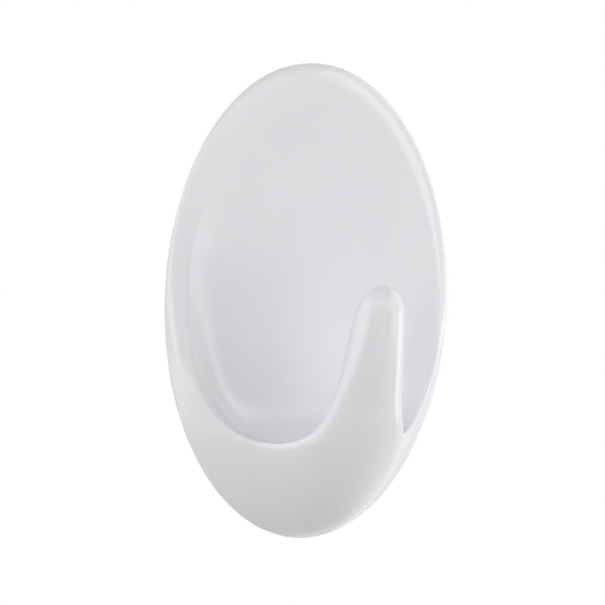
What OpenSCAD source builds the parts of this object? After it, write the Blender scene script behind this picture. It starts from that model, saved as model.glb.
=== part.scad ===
// Oval adhesive wall hook: a moulded cover with a scooped dish and an upturned prong,
// which slides on a base plate held to the wall by a stretch-release adhesive strip.
// The wall is the plane y = 0, the front faces -Y and +Z is up.
// The origin lies on the wall behind the middle of the oval.

/* [Oval cover] */
// Width of the oval at its widest contour
oval_w = 47.6; // [46:0.2:54]
// Height of the oval at its widest contour
oval_h = 70; // [68:0.5:78]
// Inset of the rim crest from the widest contour
rim_inset = 2.7; // [2.4:0.1:3.6]
// How far the dish floor stands in front of the widest contour
floor_over_edge = 0.1; // [0:0.1:0.6]
// How far the dish floor comes forward at the top of the oval
floor_rise = 1.1; // [0.6:0.1:1.8]
// Height of the rim wall above the dish floor at the top of the oval
rim_wall_top = 0.2; // [0.1:0.1:0.5]
// Height of the rim wall above the dish floor beside the trough
rim_wall = 2.8; // [2:0.1:3.2]
// Rounding of the rim crest
rim_round = 0.7; // [0.5:0.1:0.9]
// Rounding of the lip and the prong edges
lip_round = 1.0; // [0.7:0.1:1.2]

/* [Prong and trough] */
// Half the width of the trough, from the dish floor to its lowest line
trough_r = 7.9; // [7:0.1:9]
// Height over which the floor curves into the trough
trough_entry = 12; // [10:0.5:14]
// Height of the trough bottom below the middle of the oval
trough_drop = 20.1; // [19:0.1:21]
// Forward lean of the prong
prong_lean = 15; // [12:0.5:20]
// Height of the prong tip above the middle of the oval
tip_rise = 5; // [2:0.5:8]
// Width of the prong where it leaves the trough
prong_root_w = 13; // [11:0.2:15]
// Width of the prong where its tip starts to round
prong_tip_w = 8.6; // [7:0.2:10]
// Thickness of the prong where its tip starts to round
prong_tip_t = 3.4; // [2.6:0.1:4.2]
// Length of the rounded tip
tip_round = 4.2; // [3.4:0.1:5]

/* [Hollow back] */
// Thickness of the dish floor over the base plate
floor_wall = 1.4; // [1.2:0.1:2]
// Thickness of the skirt round the back
skirt_wall = 1.5; // [1.2:0.1:2]
// How far the skirt draws in from the widest contour towards the wall
skirt_inset = 2.6; // [2:0.1:3]
// Distance from the wall to the rear edge of the skirt
rear_stand = 1.2; // [1:0.1:1.6]
// Flat land on the widest contour
edge_land = 0.4; // [0.2:0.1:0.6]
// Thickness of the web between the two belly pockets
web_t = 1.5; // [1:0.1:2.5]

/* [Base plate] */
// Height of the base plate
plate_h = 42; // [40:0.5:43]
// Height of the plate's top edge above the middle of the oval
plate_top = 22; // [20:0.5:22.5]
// Thickness of the plate
plate_t = 1.8; // [1.6:0.1:2.4]
// Thickness of the side flanges
flange_t = 0.8; // [0.6:0.1:1]
// Width of each side flange
flange_w = 2; // [1.6:0.1:2.4]
// Corner cut that leads the rails on
lead_in = 1.6; // [0.8:0.1:2]
// Margin of the plate body round the strip
plate_margin = 0.2; // [0.1:0.1:0.4]

/* [Rails and stop] */
// Running clearance between cover and plate
slide_gap = 0.15; // [0.1:0.05:0.2]
// Thickness of the rail legs
rail_t = 1.5; // [1.2:0.1:1.8]
// Thickness of the lips behind the flanges
lip_t = 0.7; // [0.5:0.05:0.8]
// Length of the rails
rail_len = 32; // [26:0.5:33]
// Width of the stop over the plate's top edge
stop_w = 18; // [10:0.5:19]
// Height of the stop
stop_t = 1.6; // [1.2:0.1:2]

/* [Adhesive strip] */
// Width of the strip
strip_w = 20; // [18:0.5:20]
// Length of the strip with its tab
strip_len = 50; // [48:0.5:51]
// Length of the grip tab
tab_len = 12; // [10:0.5:13]
// Corner radius of the strip
strip_corner = 2.5; // [1:0.1:4]
// Thickness of the elastic core
core_t = 0.7; // [0.5:0.05:0.9]
// Thickness of each adhesive layer
adhesive_t = 0.1; // [0.05:0.01:0.15]
// Thickness of each tab film
film_t = 0.06; // [0.04:0.01:0.1]

/* [Hidden] */

// Stack from the wall outward
strip_t = core_t + 2 * adhesive_t;
plate_front = strip_t + plate_t;
ceiling = plate_front + slide_gap;
floor_stand = ceiling + floor_wall;
edge_stand = floor_stand - floor_over_edge;
flange_rear = plate_front - flange_t;
lip_front = flange_rear - slide_gap;
body_half = strip_w / 2 + plate_margin;
flange_half = body_half + flange_w;
rail_half = flange_half + slide_gap;
strip_top = plate_top - (plate_h - strip_len + tab_len) / 2;
strip_bottom = strip_top - strip_len;
tab_top = strip_bottom + tab_len;
rail_top = plate_top - 3;

semi_w = oval_w / 2;
semi_h = oval_h / 2;
crest_w = semi_w - rim_inset;
crest_h = semi_h - rim_inset;

// The hook line is the middle section of the dish, as [distance from the wall, z]:
// floor, entry into the trough, trough and prong back, measured by s from the top
trough_d = floor_stand + trough_r;
trough_z = trough_r - trough_drop;
floor_end_z = trough_entry - trough_drop;
floor_len = crest_h - floor_end_z;
entry_len = PI / 2 * sqrt((trough_r^2 + trough_entry^2) / 2);
sweep_len = trough_r * (90 - prong_lean) * PI / 180;
back_z = trough_z - trough_r * sin(prong_lean);
back_d = trough_d + trough_r * cos(prong_lean);
back_len = (tip_rise - back_z) / cos(prong_lean);
entry_end = floor_len + entry_len;
trough_end = entry_end + sweep_len;
line_len = trough_end + back_len;
straight_len = back_len - tip_round;

function clamp(u) = max(0, min(1, u));
function smooth(u) = let (v = clamp(u)) v * v * (3 - 2 * v);
function mix(a, b, u) = a + (b - a) * u;
function unit(v) = v / norm(v);
function mirrored(p) = [-p[0], p[1], p[2]];
function to_part(p) = [p[0], -p[1], p[2]];
function hermite(u, a, slope_a, b, slope_b) =
    (2 * u^3 - 3 * u^2 + 1) * a + (u^3 - 2 * u^2 + u) * slope_a
    + (3 * u^2 - 2 * u^3) * b + (u^3 - u^2) * slope_b;
function bezier(p, u) =
    len(p) == 1 ? p[0] : bezier([for (k = [1:len(p) - 1]) mix(p[k - 1], p[k], u)], u);

// The entry turns slowly out of the floor and joins the trough with the trough's own radius
entry_low = 0.55 * trough_r;
entry_high = trough_entry - 1.5 * entry_low^2 / trough_r;
entry_curve = [
    [floor_stand, floor_end_z],
    [floor_stand, floor_end_z - entry_high],
    [trough_d - entry_low, -trough_drop],
    [trough_d, -trough_drop]
];
function entry_u(s) =
    hermite((s - floor_len) / entry_len, 0, entry_len / 3 / entry_high, 1, entry_len / 3 / entry_low);
function bezier_way(p, u) =
    unit((p[1] - p[0]) * (1 - u)^2 + (p[2] - p[1]) * 2 * u * (1 - u) + (p[3] - p[2]) * u^2);
function sweep_angle(s) = (s - entry_end) / trough_r * 180 / PI;
function line_point(s) =
    s < floor_len ? [floor_stand + floor_rise * (1 - s / floor_len)^2, crest_h - s]
    : s < entry_end
        ? bezier(entry_curve, entry_u(s))
    : s < trough_end
        ? [trough_d + trough_r * sin(sweep_angle(s)), trough_z - trough_r * cos(sweep_angle(s))]
    : [back_d + (s - trough_end) * sin(prong_lean), back_z + (s - trough_end) * cos(prong_lean)];
// Direction from the hook line into the open dish
function line_normal(s) =
    s < floor_len ? unit([floor_len, -2 * floor_rise * (1 - s / floor_len)])
    : s < entry_end ? let (w = bezier_way(entry_curve, entry_u(s))) [-w[1], w[0]]
    : s < trough_end ? [-sin(sweep_angle(s)), cos(sweep_angle(s))]
    : [-cos(prong_lean), sin(prong_lean)];

// Half width of the dish and the prong along the hook line
shoulder_from = 0.12;
shoulder_to = 0.2;
shoulder_start = floor_len + shoulder_from * entry_len;
shoulder_end = trough_end + shoulder_to * back_len;
function oval_half(s) = let (z = line_point(s)[1]) crest_w * sqrt(max(0, 1 - (z / crest_h)^2));
function tip_share(s) = sqrt(max(0, 1 - clamp((s - line_len + tip_round) / tip_round)^2));
function prong_half(s) =
    mix(prong_tip_w, prong_root_w, (line_len - tip_round - s) / straight_len) / 2 * tip_share(s);
reach_from = 0.2;
reach_to = 1.05;
reach_part = 0.5;
function reach_share(s) = (line_point(s)[0] - floor_stand) / (back_d - floor_stand);
function half_width(s) =
    let (by_length = (s - shoulder_start) / (shoulder_end - shoulder_start))
    let (by_reach = s < floor_len ? 0 : (reach_share(s) - reach_from) / (reach_to - reach_from))
    mix(oval_half(s), prong_half(s), mix(smooth(by_length), smooth(by_reach), reach_part));

// Height of the rim wall over the hook line, and how sharply the dish turns up into it
wall_slope = 0.16;
function wall_rise(s) =
    s < floor_len
        ? hermite(s / floor_len, rim_wall_top, 0, rim_wall, wall_slope * floor_len)
    : s < shoulder_end
        ? let (run = shoulder_end - floor_len)
          hermite((s - floor_len) / run, rim_wall, wall_slope * run, 0, 0)
    : 0;
function bowl_power(s) = mix(4, 7, smooth(s / floor_len));

// A point of the dish at x, on the hook line at s
function dish_point(x, s) =
    let (p = line_point(s), n = line_normal(s), half = max(half_width(s), 0.01))
    let (off = s < crest_h ? norm([x / crest_w, 1 - s / crest_h]) : abs(x) / half)
    let (rise = wall_rise(s) * clamp(off)^bowl_power(s))
    [x, p[0] + n[0] * rise, p[1] + n[1] * rise];

// Left crest of rim, lip and prong, and the place on the hook line where it is lowest
function crest_on(s) = dish_point(-half_width(s), s);
function lowest(from, to, tries = 24) =
    let (s = (from + to) / 2)
    tries == 0 ? s
    : crest_on(s + 0.01)[2] < crest_on(s - 0.01)[2] ? lowest(s, to, tries - 1) : lowest(from, s, tries - 1);
valley_s = lowest(floor_len + entry_len / 2, trough_end);

// Stations along the hook line, from the top of the dish to the tip of the prong
n_floor = 30;
n_entry = 16;
n_sweep = 8;
n_back = 10;
n_tip = 8;
valley_gap = 1.5;
floor_turn = acos(floor_end_z / crest_h);
stations = concat(
    [for (i = [0:n_floor - 1]) crest_h * (1 - cos(floor_turn * i / n_floor))],
    [for (i = [0:n_entry - 1]) mix(floor_len, valley_s - valley_gap, i / (n_entry - 1))],
    [valley_s],
    [for (i = [0:n_sweep - 2]) mix(valley_s + valley_gap, trough_end, i / (n_sweep - 1))],
    [for (i = [0:n_back - 1]) trough_end + straight_len * i / n_back],
    [for (i = [0:n_tip]) line_len - tip_round + tip_round * sin(90 * i / n_tip)]
);
last = len(stations) - 1;
valley = n_floor + n_entry;
tip_start = last - n_tip;

// The crest at a station, and its inward offset on the unrolled dish as [x, s]
function round_at(s) = mix(rim_round, lip_round, smooth((s - floor_len) / entry_len));
function crest_point(i) = crest_on(stations[i]);
function flat_crest(i) =
    i < 0 ? [half_width(stations[-i]), stations[-i]]
    : i > last ? [half_width(stations[2 * last - i]), stations[2 * last - i]]
    : [-half_width(stations[i]), stations[i]];
function flat_inner(i) =
    let (t = flat_crest(i + 1) - flat_crest(i - 1))
    let (q = flat_crest(i) + unit([t[1], -t[0]]) * round_at(stations[i]))
    [min(q[0], 0), q[1]];
inner_flats = [for (i = [0:last]) flat_inner(i)];

// Front line of belly and prong in the middle plane
nose_end =
    let (p = line_point(stations[tip_start]), n = line_normal(line_len))
    [0, p[0] - n[0] * prong_tip_t, p[1] - n[1] * prong_tip_t];
nose_lean = [0, sin(prong_lean - 4), cos(prong_lean - 4)];
nose_reach = nose_end[1] - edge_stand;
nose_low = 0.62;
nose_lift = 0.12;
nose_high = 0.45;
nose_curve = [
    [0, edge_stand, -semi_h],
    [0, edge_stand + nose_low * nose_reach, -semi_h + nose_lift * nose_reach],
    nose_end - nose_lean * nose_high * nose_reach,
    nose_end
];
function nose_at(z, from = 0, to = 1, tries = 24) =
    let (u = (from + to) / 2, p = bezier(nose_curve, u))
    tries == 0 ? p : p[2] < z ? nose_at(z, u, to, tries - 1) : nose_at(z, from, u, tries - 1);

// Way of the crest, and the way the belly falls away below its lowest point
function crest_way(i) =
    i == 0 ? [-1, 0, 0] : i == last ? [1, 0, 0]
    : unit(crest_on(min(stations[i] + 0.05, line_len)) - crest_on(stations[i] - 0.05));
function belly_fall(p) =
    let (z = p[2], draw = -z / (semi_h^2 - z^2), nose_slope = nose_at(z + 0.5)[1] - nose_at(z - 0.5)[1])
    -[p[0] * draw, (p[1] - edge_stand) * nose_slope / (nose_at(z)[1] - edge_stand), 1];

// Direction in which the outer face leaves the crest: outward on the rim, down the belly,
// forward on the prong
function crest_up(i) = let (n = line_normal(stations[i])) [0, n[0], n[1]];
function crest_out(i) = cross(crest_up(i), crest_way(i));
rim_lean = 12;
belly_lean =
    let (fall = belly_fall(crest_point(valley)))
    atan2(-fall * crest_up(valley), fall * crest_out(valley));
side_lean = 118;
lean_start = 0.8 * floor_len;
lean_end = trough_end + 2;
function crest_lean(i) =
    let (s = stations[i])
    s < valley_s
        ? mix(rim_lean, belly_lean, smooth((s - lean_start) / (valley_s - lean_start)))
    : mix(belly_lean, side_lean, smooth((s - valley_s) / (lean_end - valley_s)));
function leave(i) = unit(crest_out(i) * cos(crest_lean(i)) - crest_up(i) * sin(crest_lean(i)));
// Line on which the crest's rounding meets the outer face
rail = [for (i = [0:last]) crest_point(i) + leave(i) * round_at(stations[i])];
// Level direction in the outer face at the rail, inward and forward
function level_way(i) =
    let (way = i == 0 || i == last ? crest_way(i) : unit(rail[i + 1] - rail[i - 1]))
    let (n = cross(way, leave(i)), h = unit([n[1], -n[0], 0]))
    h[0] + h[1] < 0 ? -h : h;

// Level line at the valley, the outward way square to it, and the square of the face there
level = level_way(valley);
aside = [-level[1], level[0], 0];
face = unit(cross(level, belly_fall(rail[valley])));
// A section at the valley, bent at its end so that the rail beside it lies on the same face
function level_bend(i) = let (d = rail[i] - rail[valley]) 2 * (d * face) / (d * d * (aside * face));
function raised(p) =
    let (n = len(p)) [for (k = [0:n]) mix(p[min(k, n - 1)], p[max(k - 1, 0)], k / n)];
function valley_form(form, i) =
    let (q = raised(raised(form)), d = q[5] - q[4])
    let (shift = 1.25 * level_bend(i) * (d * d) - (q[3] - q[5]) * aside)
    [for (k = [0:5]) k == 3 ? q[3] + aside * shift : q[k]];
// Points of the valley's level line, drawn in to the oval's edge and to the nose at height z
function drawn(points, z) =
    let (wide = sqrt(max(0, semi_h^2 - z^2)) / sqrt(semi_h^2 - rail[valley][2]^2))
    let (deep = (nose_at(z)[1] - edge_stand) / (nose_at(rail[valley][2])[1] - edge_stand))
    [for (p = points) [p[0] * wide, edge_stand + (p[1] - edge_stand) * deep, z]];
// Near the valley a section is the valley's own, drawn in and cut short, so the face runs into the belly
settle_len = 20;
function cut_short(p, u) = [for (k = [0:len(p) - 1]) bezier([for (j = [0:k]) p[j]], u)];
function cut_at(p, r, from = 0.2, to = 1, tries = 24) =
    let (u = (from + to) / 2, short = (bezier(p, u) - r) * (p[5] - p[0]) < 0)
    tries == 0 ? u : short ? cut_at(p, r, u, to, tries - 1) : cut_at(p, r, from, u, tries - 1);
function settled(base, form, away) =
    let (there = drawn(base, form[3][2]), q = cut_short(there, cut_at(there, form[3])))
    let (far = raised(raised(form)), m = smooth(away / settle_len)^2)
    let (f_shift = form[0] - q[0], r_shift = form[3] - q[5])
    [for (k = [0:5]) mix(q[k] + f_shift * (1 - k / 5) + r_shift * k / 5, far[k], m)];

// Flank of the cover: from the oval's edge to the rail, square to the rim above and level at the valley
rim_straight = 0.5;
flank_straight = 0.55;
edge_straight = 0.55;
edge_inward = 0.5;
flank_inward = 0.9;
function edge_at(turn, inset, d) = [-(semi_w - inset) * sin(turn), d, (semi_h - inset) * cos(turn)];
function flank_share(i) = 1 - (1 - smooth((stations[i] - lean_start) / (valley_s - lean_start)))^2;
function edge_turn(i) = mix(acos(1 - stations[i] / crest_h), acos(rail[i][2] / semi_h), flank_share(i));
function flank_start(i) = edge_at(edge_turn(i), 0, edge_stand);
function flank_form(i) =
    let (f = flank_start(i), r = rail[i], span = norm(r - f), m = flank_share(i))
    let (start = unit([0, 1, 0] + unit([r[0] - f[0], 0, r[2] - f[2]]) * mix(edge_inward, flank_inward, m)))
    let (end = unit(level_way(i) * m - leave(i) * (1 - m)))
    let (lead = edge_straight * (r[1] - f[1]), trail = span * mix(rim_straight, flank_straight, m))
    [f, f + start * lead, r - end * trail, r];
valley_flank = valley_form(flank_form(valley), valley - 1);
function flank_curve(i) = settled(valley_flank, flank_form(i), valley_s - stations[i]);

nose_drop = rail[tip_start][2] - nose_end[2];
// Prong: from the nose to the rail, level at the valley and fanned round the tip
prong_straight = 0.4;
side_straight = 0.5;
nose_straight = 0.4;
function prong_share(i) = smooth((stations[i] - valley_s) / (shoulder_end - valley_s))^2;
function nose_foot(i) = i < tip_start ? nose_at(rail[i][2] - nose_drop * prong_share(i)) : nose_end;
function prong_form(i) =
    let (f = nose_foot(i), r = rail[i], span = norm(r - f), m = prong_share(i))
    let (fan = 90 * max(0, i - tip_start) / n_tip, start = [-cos(fan), 0, 0] + nose_lean * sin(fan))
    let (end = unit(level_way(i) * (1 - m) + leave(i) * m))
    [f, f + start * span * nose_straight, r + end * span * mix(prong_straight, side_straight, m), r];
valley_prong = valley_form(prong_form(valley), valley + 1);
function prong_curve(i) = settled(valley_prong, prong_form(i), stations[i] - valley_s);

// Belly below the valley: the level line there, drawn in to the oval's edge and to the nose
n_belly = 14;
function belly_turn(k) = mix(edge_turn(valley), 180, k / n_belly);
function belly_row(k) = drawn(valley_row, semi_h * cos(belly_turn(k)));

// Rows of the skin: flank and prong up to the rail, the rounded crest, and the belly
n_outer = 16;
n_corner = 4;
function flank_row(i) = [for (j = [0:n_outer - 1]) bezier(flank_curve(i), j / n_outer)];
function prong_row(i) = [for (j = [0:n_outer - 1]) bezier(prong_curve(i), j / n_outer)];
function crest_row(i) =
    let (r = rail[i], c = crest_point(i), q = inner_flats[i], a = dish_point(q[0], q[1]))
    [for (j = [0:n_corner]) let (u = j / n_corner) r * (1 - u)^2 + c * 2 * u * (1 - u) + a * u^2];
valley_row = concat(
    flank_row(valley),
    [for (j = [0:n_outer]) bezier(prong_curve(valley), 1 - j / n_outer)]
);
// Row of points across the dish at station i
n_rung = 18;
function rung(i) =
    let (q = inner_flats[i]) [for (j = [1:n_rung - 1]) dish_point(q[0] * (1 - 2 * j / n_rung), q[1])];

// The closed outer form of the cover, solid to the rear edge of its skirt
module cover_form() {
    flank_points = [for (i = [0:valley]) each flank_row(i)];
    prong_points = [for (i = [valley:last]) each prong_row(i)];
    crest_points = [for (i = [0:last]) each crest_row(i)];
    belly_points = [for (k = [1:n_belly]) each belly_row(k)];
    edge_turns = concat([for (i = [0:valley]) edge_turn(i)], [for (k = [1:n_belly]) belly_turn(k)]);
    skirt_points = [
        for (turn = edge_turns)
        each [edge_at(turn, 0, edge_stand - edge_land), edge_at(turn, skirt_inset, rear_stand)]
    ];
    left_points = concat(flank_points, prong_points, crest_points, belly_points, skirt_points);
    rung_points = [for (i = [1:last - 1]) each rung(i)];
    prong_base = len(flank_points);
    crest_base = prong_base + len(prong_points);
    belly_base = crest_base + len(crest_points);
    skirt_base = belly_base + len(belly_points);
    half = len(left_points);
    edges = len(edge_turns) - 1;
    // Number of a point on the left half; on the right half points of the middle plane are the same
    function crest(i, j) = crest_base + i * (n_corner + 1) + j;
    function flank(i, j) = j == n_outer ? crest(i, 0) : i * n_outer + j;
    function prong(i, j) =
        j == n_outer ? crest(i, 0)
        : prong_base + ((j == 0 ? min(i, tip_start) : i) - valley) * n_outer + j;
    function belly(k, j) =
        k == 0 ? (j < n_outer ? flank(valley, j) : prong(valley, 2 * n_outer - j))
        : belly_base + (k - 1) * (2 * n_outer + 1) + (k == n_belly ? 0 : j);
    function skirt(e, j) =
        j > 0 ? skirt_base + 2 * e + j - 1 : e <= valley ? flank(e, 0) : belly(e - valley, 0);
    function right(n) = abs(left_points[n][0]) < 1e-6 ? n : half + n;
    function dish(i, j) =
        j == 0 ? crest(i, n_corner)
        : j == n_rung ? right(crest(i, n_corner))
        : 2 * half + (i - 1) * (n_rung - 1) + j - 1;
    function proper(faces) = [for (t = faces) if (t[0] != t[1] && t[1] != t[2] && t[2] != t[0]) t];
    function patch(rows, columns, at) = proper([
        for (i = [rows[0]:rows[1] - 1], j = [0:columns - 1])
        let (a = at(i, j), b = at(i, j + 1), c = at(i + 1, j + 1), d = at(i + 1, j))
        each [[a, b, c], [a, c, d]]
    ]);
    left_faces = concat(
        patch([0, valley], n_outer, function(i, j) flank(i, j)),
        patch([valley, last], n_outer, function(i, j) prong(i, j)),
        patch([0, last], n_corner, function(i, j) crest(i, j)),
        patch([0, n_belly], 2 * n_outer, function(i, j) belly(i, j)),
        patch([0, edges], 2, function(i, j) skirt(i, 2 - j))
    );
    right_faces = proper([for (t = left_faces) [right(t[0]), right(t[2]), right(t[1])]]);
    dish_faces = patch([0, last], n_rung,
        function(i, j) i == 0 || i == last ? crest(i, n_corner) : dish(i, j));
    rear = concat(
        [for (e = [0:edges]) skirt(e, 2)],
        [for (e = [edges - 1:-1:1]) right(skirt(e, 2))]
    );
    all_points = concat(left_points, [for (p = left_points) mirrored(p)], rung_points);
    polyhedron(
        points = [for (p = all_points) to_part(p)],
        faces = concat(left_faces, right_faces, dish_faces, [rear])
    );
}

// A flat shape in x and z, raised between two distances from the wall
module slab(from, to) {
    translate([0, -from, 0])
        rotate([90, 0, 0])
            linear_extrude(to - from)
                children();
}
module box_xz(half, bottom, top) {
    translate([-half, bottom])
        square([2 * half, top - bottom]);
}
module both_sides() {
    children();
    mirror([1, 0, 0])
        children();
}

// Hollow that takes the base plate, with the way out at the bottom for sliding off
module plate_pocket() {
    pocket_w = semi_w - skirt_inset - skirt_wall;
    pocket_h = semi_h - skirt_inset - skirt_wall;
    slab(rear_stand - 1, ceiling)
        polygon([for (a = [0:5:355]) [pocket_w * cos(a), pocket_h * sin(a)]]);
    slab(rear_stand - 1, ceiling)
        box_xz(rail_half + slide_gap, -semi_h - 1, -0.6 * pocket_h);
}
// Pocket that keeps the belly's walls even, one each side of the web
module belly_pocket() {
    r = 1.6;
    inner = web_t / 2 + r;
    low = -semi_h + 6.4;
    high = -trough_drop - 2.6 - r;
    hull() {
        for (p = [
            [inner, ceiling, low], [8.4, ceiling, low + 1.6],
            [inner, ceiling, high + 3.9], [10.4, ceiling, high + 3.9],
            [inner, trough_d - 0.3, high - 0.8], [3, trough_d - 0.3, high - 0.8],
            [6.2, trough_d - 4, high - 0.6], [inner, trough_d - 4, low + 2]
        ])
            translate(to_part(p))
                sphere(r, $fn = 16);
    }
}
// Undercut rail that runs on one flange of the base plate
module rail() {
    bottom = rail_top - rail_len;
    slab(lip_front - lip_t, ceiling + 0.5 * floor_wall)
        translate([rail_half, bottom])
            square([rail_t, rail_len]);
    slab(lip_front - lip_t, lip_front)
        translate([body_half + 2 * slide_gap, bottom])
            square([rail_half + rail_t - body_half - 2 * slide_gap, rail_len]);
}
module stop() {
    slab(strip_t + 0.4, ceiling + 0.5 * floor_wall)
        box_xz(stop_w / 2, plate_top + slide_gap, plate_top + slide_gap + stop_t);
}

module hook_shell() {
    color("white") {
        difference() {
            cover_form();
            plate_pocket();
            both_sides() belly_pocket();
        }
        both_sides() rail();
        stop();
    }
}

// Plate outline with its corners cut, in x and z
module cut_outline(half) {
    low = plate_top - plate_h;
    polygon([
        [-half, low + lead_in], [-half + lead_in, low], [half - lead_in, low], [half, low + lead_in],
        [half, plate_top - lead_in], [half - lead_in, plate_top],
        [-half + lead_in, plate_top], [-half, plate_top - lead_in]
    ]);
}
module base_plate() {
    color("whitesmoke") {
        slab(strip_t, plate_front) cut_outline(body_half);
        slab(flange_rear, plate_front) cut_outline(flange_half);
    }
}

// Strip outline between two heights, rounded at the ends that are the strip's own
module strip_outline(bottom, top, round_top, round_bottom) {
    half = strip_w / 2;
    r = strip_corner;
    box_xz(half, bottom + (round_bottom ? r : 0), top - (round_top ? r : 0));
    box_xz(half - r, bottom, top);
    if (round_top)
        for (x = [r - half, half - r])
            translate([x, top - r])
                circle(r);
    if (round_bottom)
        for (x = [r - half, half - r])
            translate([x, bottom + r])
                circle(r);
}
module strip_core() {
    color("gainsboro")
        slab(adhesive_t, adhesive_t + core_t)
            strip_outline(strip_bottom, strip_top, true, true);
}
module plate_adhesive() {
    color("ivory")
        slab(adhesive_t + core_t, strip_t)
            strip_outline(tab_top, strip_top, true, false);
}
module wall_adhesive() {
    color("ivory")
        slab(0, adhesive_t)
            strip_outline(tab_top, strip_top, true, false);
}
module tab_film_front() {
    color("aliceblue")
        slab(adhesive_t + core_t, adhesive_t + core_t + film_t)
            strip_outline(strip_bottom, tab_top, false, true);
}
module tab_film_rear() {
    color("aliceblue")
        slab(adhesive_t - film_t, adhesive_t)
            strip_outline(strip_bottom, tab_top, false, true);
}

hook_shell();
base_plate();
strip_core();
plate_adhesive();
wall_adhesive();
tab_film_front();
tab_film_rear();
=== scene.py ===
import math

import bmesh
import bpy
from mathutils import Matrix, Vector


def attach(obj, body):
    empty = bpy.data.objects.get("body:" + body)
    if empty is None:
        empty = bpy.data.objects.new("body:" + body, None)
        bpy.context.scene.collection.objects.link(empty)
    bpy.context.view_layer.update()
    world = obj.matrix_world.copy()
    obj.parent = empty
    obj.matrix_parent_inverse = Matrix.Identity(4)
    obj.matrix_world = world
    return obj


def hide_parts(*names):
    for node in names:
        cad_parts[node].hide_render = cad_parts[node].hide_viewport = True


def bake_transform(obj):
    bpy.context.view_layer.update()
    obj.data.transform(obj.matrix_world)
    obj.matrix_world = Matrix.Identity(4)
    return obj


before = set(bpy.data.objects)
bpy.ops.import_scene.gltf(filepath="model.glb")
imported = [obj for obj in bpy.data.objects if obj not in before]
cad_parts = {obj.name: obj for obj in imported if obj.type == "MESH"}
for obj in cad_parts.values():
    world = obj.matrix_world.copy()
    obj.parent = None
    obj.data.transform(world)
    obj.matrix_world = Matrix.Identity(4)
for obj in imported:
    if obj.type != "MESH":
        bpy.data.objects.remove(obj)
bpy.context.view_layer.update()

MM = 0.001


# Materials

def linear(code):
    """An sRGB hex colour as linear RGBA."""
    def channel(pair):
        c = int(pair, 16) / 255
        return c / 12.92 if c <= 0.04045 else ((c + 0.055) / 1.055) ** 2.4
    return tuple(channel(code[i:i + 2]) for i in (1, 3, 5)) + (1.0,)


def per(size_mm):
    """Pattern scale that gives features about size_mm across."""
    return 1 / (size_mm * MM)


def link(tree, node, sources):
    """Links outputs of other nodes into the sockets of a node."""
    for key, source in sources.items():
        tree.links.new(source, node.inputs[key])


def add_node(tree, kind, settings=None, values=None, links=None):
    """Adds a node with its own settings, the values of its sockets and the links that come into it."""
    node = tree.nodes.new(kind)
    for key, value in (settings or {}).items():
        setattr(node, key, value)
    for key, value in (values or {}).items():
        node.inputs[key].default_value = value
    link(tree, node, links or {})
    return node


# Sockets of a Mix node that mixes colours, which have numbers because their names repeat
SHARE = 0
COLOUR_A = 6
COLOUR_B = 7
MIXED = 2


def start_material(name, plain):
    """A material with its shader's plain values set, and the place on the piece that its patterns follow."""
    material = bpy.data.materials.new(name)
    material.use_nodes = True
    tree = material.node_tree
    shader = tree.nodes["Principled BSDF"]
    for key, value in plain.items():
        shader.inputs[key].default_value = value
    place = add_node(tree, "ShaderNodeTexCoord").outputs["Object"]
    return material, tree, shader, place


def polished_abs():
    """White ABS from a polished mould.

    It gives wide soft reflections, very slightly wavy, with a faint haze from handling.
    """
    material, tree, shader, place = start_material("abs_white_polished", {
        "IOR": 1.54,
        "Subsurface Weight": 0.08,
        "Subsurface Radius": (1.0, 0.9, 0.8),
        "Subsurface Scale": 1.2 * MM,
    })
    drift = add_node(tree, "ShaderNodeTexNoise", values={"Scale": per(18)}, links={"Vector": place})
    haze = add_node(
        tree, "ShaderNodeTexNoise", values={"Scale": per(5), "Detail": 4}, links={"Vector": place}
    )
    wave = add_node(
        tree, "ShaderNodeTexNoise", values={"Scale": per(2.5), "Detail": 1}, links={"Vector": place}
    )
    white = add_node(
        tree, "ShaderNodeMix", {"data_type": "RGBA"},
        {COLOUR_A: linear("#E9E9ED"), COLOUR_B: linear("#EDEDF0")}, {SHARE: drift.outputs["Fac"]},
    )
    gloss = add_node(
        tree, "ShaderNodeMapRange", values={"To Min": 0.19, "To Max": 0.25},
        links={"Value": haze.outputs["Fac"]},
    )
    relief = add_node(
        tree, "ShaderNodeBump", values={"Distance": 0.002 * MM}, links={"Height": wave.outputs["Fac"]}
    )
    link(tree, shader, {
        "Base Color": white.outputs[MIXED],
        "Roughness": gloss.outputs["Result"],
        "Normal": relief.outputs["Normal"],
    })
    return material


def satin_abs():
    """White ABS from a spark-eroded mould: an even fine grain that breaks up the reflections.

    The real grain, a few hundredths of a millimetre, is too fine to show, so it is drawn coarser.
    """
    material, tree, shader, place = start_material("abs_white_satin", {"IOR": 1.54})
    drift = add_node(tree, "ShaderNodeTexNoise", values={"Scale": per(12)}, links={"Vector": place})
    grain = add_node(
        tree, "ShaderNodeTexNoise", values={"Scale": per(0.35), "Detail": 3}, links={"Vector": place}
    )
    white = add_node(
        tree, "ShaderNodeMix", {"data_type": "RGBA"},
        {COLOUR_A: linear("#DEDEDF"), COLOUR_B: linear("#E6E6E6")}, {SHARE: drift.outputs["Fac"]},
    )
    gloss = add_node(
        tree, "ShaderNodeMapRange", values={"To Min": 0.42, "To Max": 0.56},
        links={"Value": grain.outputs["Fac"]},
    )
    relief = add_node(
        tree, "ShaderNodeBump", values={"Distance": 0.012 * MM}, links={"Height": grain.outputs["Fac"]}
    )
    link(tree, shader, {
        "Base Color": white.outputs[MIXED],
        "Roughness": gloss.outputs["Result"],
        "Normal": relief.outputs["Normal"],
    })
    return material


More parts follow.
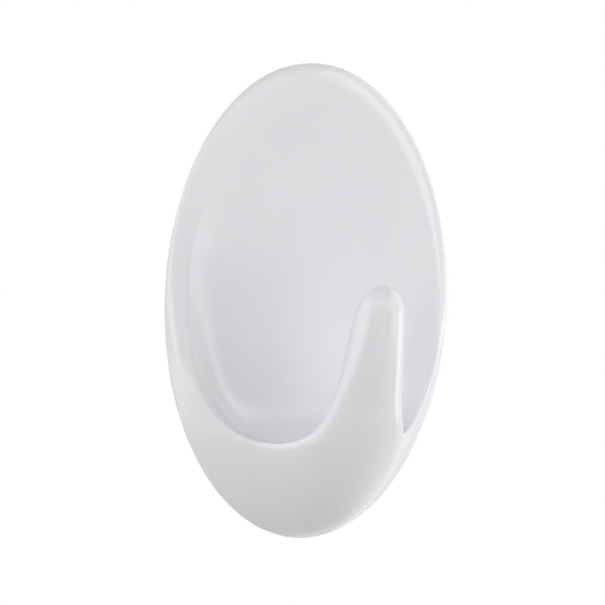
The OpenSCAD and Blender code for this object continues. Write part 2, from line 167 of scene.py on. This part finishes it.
def foam():
    """White closed-cell polyethylene foam: matt, with small even cells."""
    material, tree, shader, place = start_material("polyethylene_foam_white", {"IOR": 1.5, "Roughness": 0.85})
    cells = add_node(tree, "ShaderNodeTexVoronoi", values={"Scale": per(0.45)}, links={"Vector": place})
    white = add_node(
        tree, "ShaderNodeMix", {"data_type": "RGBA"},
        {COLOUR_A: linear("#DCDBD6"), COLOUR_B: linear("#EAE9E5")}, {SHARE: cells.outputs["Distance"]},
    )
    relief = add_node(
        tree, "ShaderNodeBump", values={"Distance": 0.03 * MM}, links={"Height": cells.outputs["Distance"]}
    )
    link(tree, shader, {"Base Color": white.outputs[MIXED], "Normal": relief.outputs["Normal"]})
    return material


def tacky_adhesive():
    """Pressure-sensitive rubber resin adhesive: warm, half gloss, with faint streaks from coating.

    The streaks run down the strip and are 14 times as long as they are wide.
    """
    material, tree, shader, place = start_material("rubber_resin_adhesive", {"IOR": 1.5})
    drawn_out = add_node(tree, "ShaderNodeMapping", values={"Scale": (1, 1, 1 / 14)}, links={"Vector": place})
    streaks = add_node(
        tree, "ShaderNodeTexNoise", values={"Scale": per(0.8), "Detail": 3},
        links={"Vector": drawn_out.outputs["Vector"]},
    )
    cream = add_node(
        tree, "ShaderNodeMix", {"data_type": "RGBA"},
        {COLOUR_A: linear("#E3DFD0"), COLOUR_B: linear("#EBE8DD")}, {SHARE: streaks.outputs["Fac"]},
    )
    gloss = add_node(
        tree, "ShaderNodeMapRange", values={"To Min": 0.28, "To Max": 0.42},
        links={"Value": streaks.outputs["Fac"]},
    )
    relief = add_node(
        tree, "ShaderNodeBump", values={"Distance": 0.006 * MM}, links={"Height": streaks.outputs["Fac"]}
    )
    link(tree, shader, {
        "Base Color": cream.outputs[MIXED],
        "Roughness": gloss.outputs["Result"],
        "Normal": relief.outputs["Normal"],
    })
    return material


def polyester_film():
    """Thin polyester film: cool white, glossy, with fine lines across its width from being drawn.

    They are 20 times as long as they are wide, and coarser than real ones, which would not show.
    """
    material, tree, shader, place = start_material("polyester_film_white", {"IOR": 1.64})
    drawn_out = add_node(tree, "ShaderNodeMapping", values={"Scale": (1 / 20, 1, 1)}, links={"Vector": place})
    lines = add_node(
        tree, "ShaderNodeTexNoise", values={"Scale": per(0.5)}, links={"Vector": drawn_out.outputs["Vector"]}
    )
    white = add_node(
        tree, "ShaderNodeMix", {"data_type": "RGBA"},
        {COLOUR_A: linear("#DFE4EB"), COLOUR_B: linear("#E7EAF0")}, {SHARE: lines.outputs["Fac"]},
    )
    gloss = add_node(
        tree, "ShaderNodeMapRange", values={"To Min": 0.16, "To Max": 0.26},
        links={"Value": lines.outputs["Fac"]},
    )
    relief = add_node(
        tree, "ShaderNodeBump", values={"Distance": 0.002 * MM}, links={"Height": lines.outputs["Fac"]}
    )
    link(tree, shader, {
        "Base Color": white.outputs[MIXED],
        "Roughness": gloss.outputs["Result"],
        "Normal": relief.outputs["Normal"],
    })
    return material


# Pieces

WELD = 0.001 * MM
FLAT = math.radians(1)
SQUARE_EDGE = math.radians(30)
ROUNDED_EDGE = math.radians(8)
MOULDED_CORNER = math.radians(40)


def merged_copy(node):
    """A bmesh of a CAD node with its loose triangles joined up."""
    bm = bmesh.new()
    bm.from_mesh(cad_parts[node].data)
    bmesh.ops.remove_doubles(bm, verts=bm.verts, dist=WELD)
    return bm


def finished(bm, name, node, material):
    """A piece that stands for a CAD node and material."""
    mesh = bpy.data.meshes.new(name)
    bm.to_mesh(mesh)
    bm.free()
    mesh.materials.append(material)
    piece = bpy.data.objects.new(name, mesh)
    bpy.context.scene.collection.objects.link(piece)
    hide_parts(node)
    return piece


def ease_edges(bm, width_mm):
    """Rounds the square edges of a piece."""
    square = [e for e in bm.edges if e.calc_face_angle(0) > SQUARE_EDGE]
    bmesh.ops.bevel(
        bm, geom=square, offset=width_mm * MM, affect="EDGES", segments=2, profile=0.5, material=-1
    )


def flat_faces(bm):
    """Joins the triangles of each flat face."""
    bmesh.ops.dissolve_limit(bm, angle_limit=FLAT, verts=bm.verts, edges=bm.edges)


LIP_DEPTH = 7 * MM
LIP_REACH = 3.2 * MM
LIP_PASSES = 24
FADE_FROM = -20 * MM
FADE_TO = -1 * MM


def roll_lip(bm):
    """Rolls the lip of the trough and the sides of the prong more fully.

    The rolling starts at the rounded edges that stand further than LIP_DEPTH off the wall. It fades out
    within LIP_REACH along the skin, and up the prong from FADE_FROM to FADE_TO.
    """
    reach = {
        v: LIP_REACH * max(0, v.co.z - FADE_FROM) / (FADE_TO - FADE_FROM)
        for e in bm.edges if ROUNDED_EDGE < e.calc_face_angle_signed(0) < MOULDED_CORNER
        for v in e.verts if v.co.y < -LIP_DEPTH
    }
    front = list(reach)
    while front:
        v = front.pop()
        for e in v.link_edges:
            other = e.other_vert(v)
            far = reach[v] + e.calc_length()
            if far < reach.get(other, LIP_REACH):
                reach[other] = far
                front.append(other)
    for k in range(LIP_PASSES):
        near = [v for v in reach if reach[v] < LIP_REACH * (1 - k / LIP_PASSES)]
        bmesh.ops.smooth_vert(
            bm, verts=near, factor=0.5, use_axis_x=True, use_axis_y=True, use_axis_z=True
        )


def moulded_cover():
    """The cover: the CAD shell with its lip rolled, its facets smoothed and its moulded corners kept."""
    bm = merged_copy("hook_shell")
    bmesh.ops.join_triangles(
        bm, faces=bm.faces, angle_face_threshold=math.radians(15), angle_shape_threshold=math.radians(50)
    )
    roll_lip(bm)
    crease = bm.edges.layers.float.new("crease_edge")
    for edge in bm.edges:
        edge.smooth = edge.calc_face_angle(0) < MOULDED_CORNER
        edge[crease] = 0.0 if edge.smooth else 1.0
    for face in bm.faces:
        face.smooth = True
    piece = finished(bm, "moulded_cover", "hook_shell", polished_abs())
    rounding = piece.modifiers.new("rounding", "SUBSURF")
    rounding.levels = rounding.render_levels = 1
    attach(piece, "cover")


PLATE_EASE_MM = 0.2
FOAM_EASE_MM = 0.1


def slide_plate():
    """The base plate with its moulded edges eased."""
    bm = merged_copy("base_plate")
    flat_faces(bm)
    ease_edges(bm, PLATE_EASE_MM)
    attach(finished(bm, "slide_plate", "base_plate", satin_abs()), "base")


STRIP_TOP = 20.5 * MM
TAB_TOP = -17.5 * MM
STRETCH_CUTS = 40


def strip_layer(name, node, material, ease_mm=0):
    """A layer of the strip, cut across so that it draws out smoothly as the tab is pulled."""
    bm = merged_copy(node)
    flat_faces(bm)
    if ease_mm:
        ease_edges(bm, ease_mm)
    for k in range(1, STRETCH_CUTS):
        level = STRIP_TOP + (TAB_TOP - STRIP_TOP) * k / STRETCH_CUTS
        bmesh.ops.bisect_plane(
            bm, geom=bm.verts[:] + bm.edges[:] + bm.faces[:], plane_co=(0, 0, level), plane_no=(0, 0, 1)
        )
    piece = finished(bm, name, node, material)
    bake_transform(piece)


moulded_cover()
slide_plate()
strip_layer("strip_foam", "strip_core", foam(), FOAM_EASE_MM)
adhesive = tacky_adhesive()
strip_layer("plate_side_adhesive", "plate_adhesive", adhesive)
strip_layer("wall_side_adhesive", "wall_adhesive", adhesive)
film = polyester_film()
for node in ("tab_film_front", "tab_film_rear"):
    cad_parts[node].data.materials.clear()
    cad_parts[node].data.materials.append(film)


# Studio

AMBIENT = 0.27
LAMP_DISTANCE = 0.5
FLOOR_REACH = 0.35
FLOOR_LEVEL = -0.25
FLOOR_GLOW = 0.6

PHOTO_PIXELS = 605
PHOTO_AZIMUTH = -30
PHOTO_ELEVATION = 7
PHOTO_DISTANCE = 0.6
PHOTO_AIM = Vector((0, -4.15 * MM, 0))
PHOTO_SHIFT_X = -6.5
PHOTO_SHIFT_Y = -0.5
LENS_MM = 243.9
SENSOR_MM = 36


def around(azimuth, elevation, distance):
    """A point at that azimuth (0 in front of the hook, positive to its right), elevation and distance."""
    a, e = math.radians(azimuth), math.radians(elevation)
    return Vector((math.sin(a) * math.cos(e), -math.cos(a) * math.cos(e), math.sin(e))) * distance


def facing(point, target):
    """The rotation that turns a lamp or camera at a point towards a target."""
    return (target - point).to_track_quat("-Z", "Y").to_euler()


def softbox(name, azimuth, elevation, width, height, power):
    """A rectangular lamp aimed at the hook, with its sides in metres and its power in watts."""
    light = bpy.data.lights.new(name, "AREA")
    light.shape = "RECTANGLE"
    light.size, light.size_y, light.energy = width, height, power
    lamp = bpy.data.objects.new(name, light)
    lamp.location = around(azimuth, elevation, LAMP_DISTANCE)
    lamp.rotation_euler = facing(lamp.location, Vector())
    lamp.visible_camera = False
    bpy.context.scene.collection.objects.link(lamp)


def seen_directly(tree):
    """1 for a ray from the camera, a reflection or a clear piece, and 0 for light on the pieces."""
    path = add_node(tree, "ShaderNodeLightPath").outputs
    direct = add_node(
        tree, "ShaderNodeMath", {"operation": "MAXIMUM"},
        links={0: path["Is Camera Ray"], 1: path["Is Glossy Ray"]},
    )
    return add_node(
        tree, "ShaderNodeMath", {"operation": "MAXIMUM"},
        links={0: direct.outputs[0], 1: path["Is Transmission Ray"]},
    ).outputs[0]


def white_surround(ambient):
    """A world that is white to the camera and in reflections, and gives the pieces a little light."""
    world = bpy.data.worlds.new("studio")
    world.use_nodes = True
    bpy.context.scene.world = world
    tree = world.node_tree
    fill = tree.nodes["Background"]
    fill.inputs["Color"].default_value = (1, 1, 1, 1)
    fill.inputs["Strength"].default_value = ambient
    white = add_node(tree, "ShaderNodeBackground", values={"Color": (1, 1, 1, 1), "Strength": 1})
    either = add_node(
        tree, "ShaderNodeMixShader", links={0: seen_directly(tree), 1: fill.outputs[0], 2: white.outputs[0]}
    )
    link(tree, tree.nodes["World Output"], {"Surface": either.outputs[0]})


def floor_paint(glow):
    """Matt white floor paint, lifted to the white of the surround for the camera, with its shadows kept."""
    material, tree, shader, place = start_material("floor_paint_white", {"Roughness": 0.9})
    mottle = add_node(tree, "ShaderNodeTexNoise", values={"Scale": per(40)}, links={"Vector": place})
    white = add_node(
        tree, "ShaderNodeMix", {"data_type": "RGBA"},
        {COLOUR_A: linear("#F0F0F0"), COLOUR_B: linear("#F4F4F4")}, {SHARE: mottle.outputs["Fac"]},
    )
    lift = add_node(
        tree, "ShaderNodeMath", {"operation": "MULTIPLY"}, {1: glow}, {0: seen_directly(tree)}
    )
    link(tree, shader, {
        "Base Color": white.outputs[MIXED],
        "Emission Color": white.outputs[MIXED],
        "Emission Strength": lift.outputs[0],
    })
    return material


def pale_floor():
    """The floor, which keeps the hook's shadow.

    It is left out of the diffuse light on the pieces, because its bounce would wash out the shade below
    the hook.
    """
    bm = bmesh.new()
    bmesh.ops.create_grid(bm, x_segments=1, y_segments=1, size=FLOOR_REACH)
    bmesh.ops.translate(bm, vec=(0, 0, FLOOR_LEVEL), verts=bm.verts)
    mesh = bpy.data.meshes.new("floor")
    bm.to_mesh(mesh)
    bm.free()
    mesh.materials.append(floor_paint(FLOOR_GLOW))
    floor = bpy.data.objects.new("floor", mesh)
    floor.visible_diffuse = False
    bpy.context.scene.collection.objects.link(floor)


def photo_camera():
    """The photograph's view, from the left and a little above, through a long lens.

    The shift is in pixels of the photograph.
    """
    camera = bpy.data.objects.new("camera", bpy.data.cameras.new("camera"))
    camera.location = PHOTO_AIM + around(PHOTO_AZIMUTH, PHOTO_ELEVATION, PHOTO_DISTANCE)
    camera.rotation_euler = facing(camera.location, PHOTO_AIM)
    camera.data.sensor_width = SENSOR_MM
    camera.data.lens = LENS_MM
    camera.data.shift_x = PHOTO_SHIFT_X / PHOTO_PIXELS
    camera.data.shift_y = PHOTO_SHIFT_Y / PHOTO_PIXELS
    bpy.context.scene.collection.objects.link(camera)
    bpy.context.scene.camera = camera


white_surround(AMBIENT)
pale_floor()
# Each softbox: name, azimuth and elevation in degrees, width and height in metres, power in watts
softbox("left_softbox", -75, 0, 0.3, 0.9, 1.8)
softbox("right_softbox", 48, 0, 0.18, 0.8, 1.1)
softbox("right_side_softbox", 90, 10, 0.25, 0.6, 0.3)
softbox("low_right_softbox", 80, -15, 0.3, 0.2, 0.4)
softbox("front_softbox", 15, 2, 0.25, 0.8, 0.37)
softbox("high_front_softbox", -20, 35, 0.5, 0.15, 0.2)
softbox("top_softbox", -10, 60, 0.5, 0.3, 0.22)
softbox("rear_softbox", 180, 0, 0.7, 0.4, 1.4)
photo_camera()
bpy.context.scene.view_settings.view_transform = "Standard"
